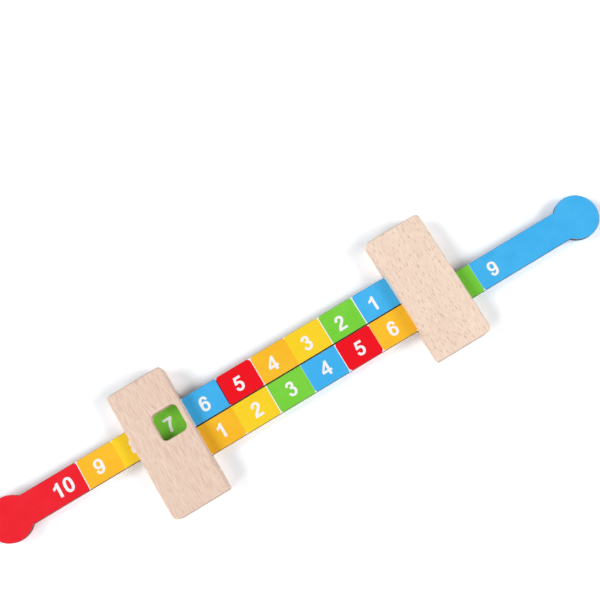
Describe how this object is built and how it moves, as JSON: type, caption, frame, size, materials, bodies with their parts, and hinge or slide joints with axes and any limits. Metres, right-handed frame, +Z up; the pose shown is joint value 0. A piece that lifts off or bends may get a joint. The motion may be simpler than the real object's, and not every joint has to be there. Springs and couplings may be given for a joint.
{
  "type": "number balance",
  "caption": "Wooden number balance: screwed beech blocks each hold a printed plywood strip that slides through the other block, and a window shows the total.",
  "frame": {"origin": "middle of the slider's footprint at rest, on the plane of the blocks' back faces", "axes": "+X along the strips from the red grip to the blue grip, +Y towards the red strip's row, +Z up out of the front faces"},
  "size_m": [0.3448, 0.07, 0.0126],
  "materials": {
    "beech": "sanded bare beech, satin",
    "red_strip_print": "plywood with a satin colour print on both faces",
    "blue_strip_print": "plywood with a satin colour print on both faces",
    "screw_steel": "dark plated steel"
  },
  "bodies": {
    "window_block": {"window_block_front": "beech", "window_block_back": "beech", "window_block_screw_1": "screw_steel", "window_block_screw_2": "screw_steel", "blue_strip": "blue_strip_print"},
    "plain_block": {"plain_block_front": "beech", "plain_block_back": "beech", "plain_block_screw_1": "screw_steel", "plain_block_screw_2": "screw_steel", "red_strip": "red_strip_print"}
  },
  "joints": [
    {"name": "number_slide", "type": "slide", "parent": "window_block", "child": "plain_block", "axis": [1, 0, 0], "range_m": [-0.12, 0.0612]}
  ]
}
